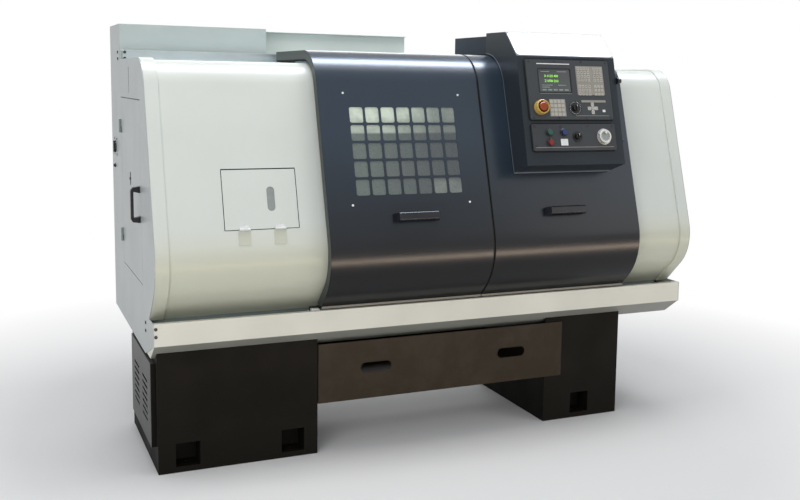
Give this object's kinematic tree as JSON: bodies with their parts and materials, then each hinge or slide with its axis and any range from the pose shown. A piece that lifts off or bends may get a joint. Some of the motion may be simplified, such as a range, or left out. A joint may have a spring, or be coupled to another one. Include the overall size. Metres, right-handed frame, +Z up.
{
  "type": "cnc turning lathe",
  "caption": "Fully enclosed CNC turning lathe with curved covers, two sliding doors, hanging operator console, chip pan on cast pedestals, bed, chuck, tool turret and tailstock.",
  "frame": {"origin": "on the floor, below the middle of the overall box", "axes": "+X along the bed from the headstock end to the tailstock end, +Y from the operator's side to the back, +Z up"},
  "size_m": [2.538, 1.3544, 1.815],
  "materials": {
    "white_enamel": "gloss",
    "graphite_enamel": "semi-gloss",
    "charcoal_enamel": "semi-gloss",
    "vent_grey": "satin",
    "cream_enamel": "gloss",
    "plate_grey": "satin",
    "sill_grey": "satin",
    "tray_brown": "satin",
    "cast_grey": "painted casting with ground ways",
    "ground_steel": "ground",
    "hard_steel": "polished",
    "motor_blue": "satin",
    "servo_black": "satin",
    "belt_rubber": "matt",
    "console_slate": "satin",
    "panel_grey": "film overlay",
    "screen_dark": "glossy display",
    "key_pale": "matt",
    "switch_panel_black": "film overlay",
    "stop_red": "gloss",
    "button_green": "gloss",
    "button_red": "gloss",
    "button_blue": "gloss",
    "knob_black": "matt",
    "window_clear": "clear"
  },
  "bodies": {
    "machine": {"left_pedestal": "charcoal_enamel", "right_pedestal": "charcoal_enamel", "pedestal_vent": "vent_grey", "chip_pan": "cream_enamel", "bed": "cast_grey", "headstock": "cast_grey", "spindle_motor": "motor_blue", "drive_belt": "belt_rubber", "feed_motor": "servo_black", "left_end_plate": "plate_grey", "right_end_plate": "plate_grey", "left_cover": "white_enamel", "right_cover": "white_enamel", "top_rail": "plate_grey", "door_sill": "sill_grey", "electrical_cabinet": "plate_grey", "rear_guard": "plate_grey", "console_housing": "console_slate", "console_arm": "console_slate", "control_panel": "panel_grey", "control_screen": "screen_dark", "control_keys": "key_pale", "switch_panel": "switch_panel_black"},
    "swarf_tray": {"swarf_tray": "tray_brown"},
    "spindle": {"spindle": "ground_steel", "spindle_pulley": "cast_grey", "chuck_body": "ground_steel"},
    "jaw_1": {"chuck_jaw_1": "hard_steel"},
    "jaw_2": {"chuck_jaw_2": "hard_steel"},
    "jaw_3": {"chuck_jaw_3": "hard_steel"},
    "motor_shaft": {"motor_pulley": "cast_grey"},
    "feed_screw": {"feed_screw": "hard_steel"},
    "carriage": {"saddle": "cast_grey", "cross_motor": "servo_black"},
    "cross_slide": {"cross_slide": "ground_steel", "turret_base": "motor_blue"},
    "turret": {"tool_turret": "ground_steel", "turning_tools": "servo_black"},
    "tailstock": {"tailstock": "cast_grey"},
    "quill": {"quill": "hard_steel", "centre_point": "hard_steel"},
    "tailstock_wheel": {"tailstock_handwheel": "hard_steel"},
    "side_door": {"side_door": "plate_grey", "side_door_handle": "knob_black"},
    "cover_flap": {"cover_flap": "white_enamel"},
    "left_door": {"left_door": "graphite_enamel", "door_window": "window_clear", "left_door_handle": "knob_black"},
    "right_door": {"right_door": "graphite_enamel", "right_door_handle": "knob_black"},
    "cabinet_door": {"cabinet_door": "plate_grey"},
    "cabinet_latch": {"cabinet_latch": "knob_black"},
    "main_switch": {"main_switch_knob": "knob_black"},
    "emergency_stop": {"emergency_stop": "stop_red"},
    "feed_dial": {"feed_dial": "knob_black"},
    "green_button": {"green_button": "button_green"},
    "red_button": {"red_button": "button_red"},
    "blue_button": {"blue_button": "button_blue"},
    "mode_switch": {"mode_switch": "knob_black"},
    "pulse_wheel": {"pulse_wheel": "hard_steel"}
  },
  "joints": [
    {"name": "left_door_slide", "type": "slide", "parent": "machine", "child": "left_door", "axis": [1, 0, 0], "range_m": [-0.62, 0]},
    {"name": "right_door_slide", "type": "slide", "parent": "machine", "child": "right_door", "axis": [1, 0, 0], "range_m": [0, 0.3]},
    {"name": "swarf_tray_slide", "type": "slide", "parent": "machine", "child": "swarf_tray", "axis": [0, -1, 0], "range_m": [0, 0.5]},
    {"name": "cover_flap_hinge", "type": "hinge", "parent": "machine", "child": "cover_flap", "pos_m": [-0.805, -0.55693, 0.99079], "axis": [1, 0, 0], "range_deg": [0, 95]},
    {"name": "side_door_hinge", "type": "hinge", "parent": "machine", "child": "side_door", "pos_m": [-1.236, 0.29285, 1.115], "axis": [0, 0, -1], "range_deg": [0, 105]},
    {"name": "cabinet_door_hinge", "type": "hinge", "parent": "machine", "child": "cabinet_door", "pos_m": [-0.571, 0.64185, 1.1455], "axis": [0, 0, -1], "range_deg": [0, 110]},
    {"name": "cabinet_latch_turn", "type": "hinge", "parent": "cabinet_door", "child": "cabinet_latch", "pos_m": [-1.175, 0.65685, 1.1455], "axis": [0, 1, 0], "range_deg": [0, 90]},
    {"name": "main_switch_turn", "type": "hinge", "parent": "machine", "child": "main_switch", "pos_m": [-1.233, 0.49285, 1.256], "axis": [-1, 0, 0], "range_deg": [0, 90]},
    {"name": "spindle_turn", "type": "hinge", "parent": "machine", "child": "spindle", "pos_m": [-1.081, -0.10215, 1.11], "axis": [1, 0, 0], "continuous": true},
    {"name": "motor_turn", "type": "hinge", "parent": "machine", "child": "motor_shaft", "pos_m": [-1.099, -0.10215, 0.29], "axis": [1, 0, 0], "continuous": true},
    {"name": "jaw_1_slide", "type": "slide", "parent": "spindle", "child": "jaw_1", "axis": [0, 0, 1], "range_m": [-0.02, 0.02]},
    {"name": "jaw_2_slide", "type": "slide", "parent": "spindle", "child": "jaw_2", "axis": [0, -0.866, -0.5], "range_m": [-0.02, 0.02]},
    {"name": "jaw_3_slide", "type": "slide", "parent": "spindle", "child": "jaw_3", "axis": [0, 0.866, -0.5], "range_m": [-0.02, 0.02]},
    {"name": "carriage_slide", "type": "slide", "parent": "machine", "child": "carriage", "axis": [1, 0, 0], "range_m": [-0.24, 0.44]},
    {"name": "feed_screw_turn", "type": "hinge", "parent": "machine", "child": "feed_screw", "pos_m": [-0.591, -0.33615, 0.76], "axis": [1, 0, 0], "continuous": true},
    {"name": "cross_slide_travel", "type": "slide", "parent": "carriage", "child": "cross_slide", "axis": [0, 1, 0], "range_m": [-0.12, 0.1]},
    {"name": "turret_index", "type": "hinge", "parent": "cross_slide", "child": "turret", "pos_m": [-0.031, -0.24715, 1.0256], "axis": [0, 0, 1], "continuous": true},
    {"name": "tailstock_slide", "type": "slide", "parent": "machine", "child": "tailstock", "axis": [1, 0, 0], "range_m": [-0.4, 0.03]},
    {"name": "quill_slide", "type": "slide", "parent": "tailstock", "child": "quill", "axis": [1, 0, 0], "range_m": [-0.12, 0]},
    {"name": "tailstock_wheel_turn", "type": "hinge", "parent": "tailstock", "child": "tailstock_wheel", "pos_m": [0.949, -0.10215, 1.11], "axis": [1, 0, 0], "continuous": true},
    {"name": "emergency_stop_press", "type": "slide", "parent": "machine", "child": "emergency_stop", "axis": [0, 0.9664, -0.257], "range_m": [0, 0.005]},
    {"name": "green_button_press", "type": "slide", "parent": "machine", "child": "green_button", "axis": [0, 0.9664, -0.257], "range_m": [0, 0.004], "stiffness_N_per_m": 800, "springref_m": -0.001},
    {"name": "red_button_press", "type": "slide", "parent": "machine", "child": "red_button", "axis": [0, 0.9664, -0.257], "range_m": [0, 0.004], "stiffness_N_per_m": 800, "springref_m": -0.001},
    {"name": "blue_button_press", "type": "slide", "parent": "machine", "child": "blue_button", "axis": [0, 0.9664, -0.257], "range_m": [0, 0.004], "stiffness_N_per_m": 800, "springref_m": -0.001},
    {"name": "feed_dial_turn", "type": "hinge", "parent": "machine", "child": "feed_dial", "pos_m": [0.582, -0.62096, 1.47643], "axis": [0, -0.9664, 0.257], "range_deg": [-135, 135]},
    {"name": "mode_switch_turn", "type": "hinge", "parent": "machine", "child": "mode_switch", "pos_m": [0.577, -0.65411, 1.35177], "axis": [0, -0.9664, 0.257], "range_deg": [-60, 60]},
    {"name": "pulse_wheel_turn", "type": "hinge", "parent": "machine", "child": "pulse_wheel", "pos_m": [0.715, -0.65437, 1.3508], "axis": [0, -0.9664, 0.257], "continuous": true}
  ],
  "couplings": [
    {"joint": "motor_turn", "follows": "spindle_turn", "ratio": 1.6667},
    {"joint": "jaw_2_slide", "follows": "jaw_1_slide", "ratio": 1},
    {"joint": "jaw_3_slide", "follows": "jaw_1_slide", "ratio": 1},
    {"joint": "feed_screw_turn", "follows": "carriage_slide", "rad_per_m": 628.32},
    {"joint": "tailstock_wheel_turn", "follows": "quill_slide", "rad_per_m": 1256.6}
  ]
}
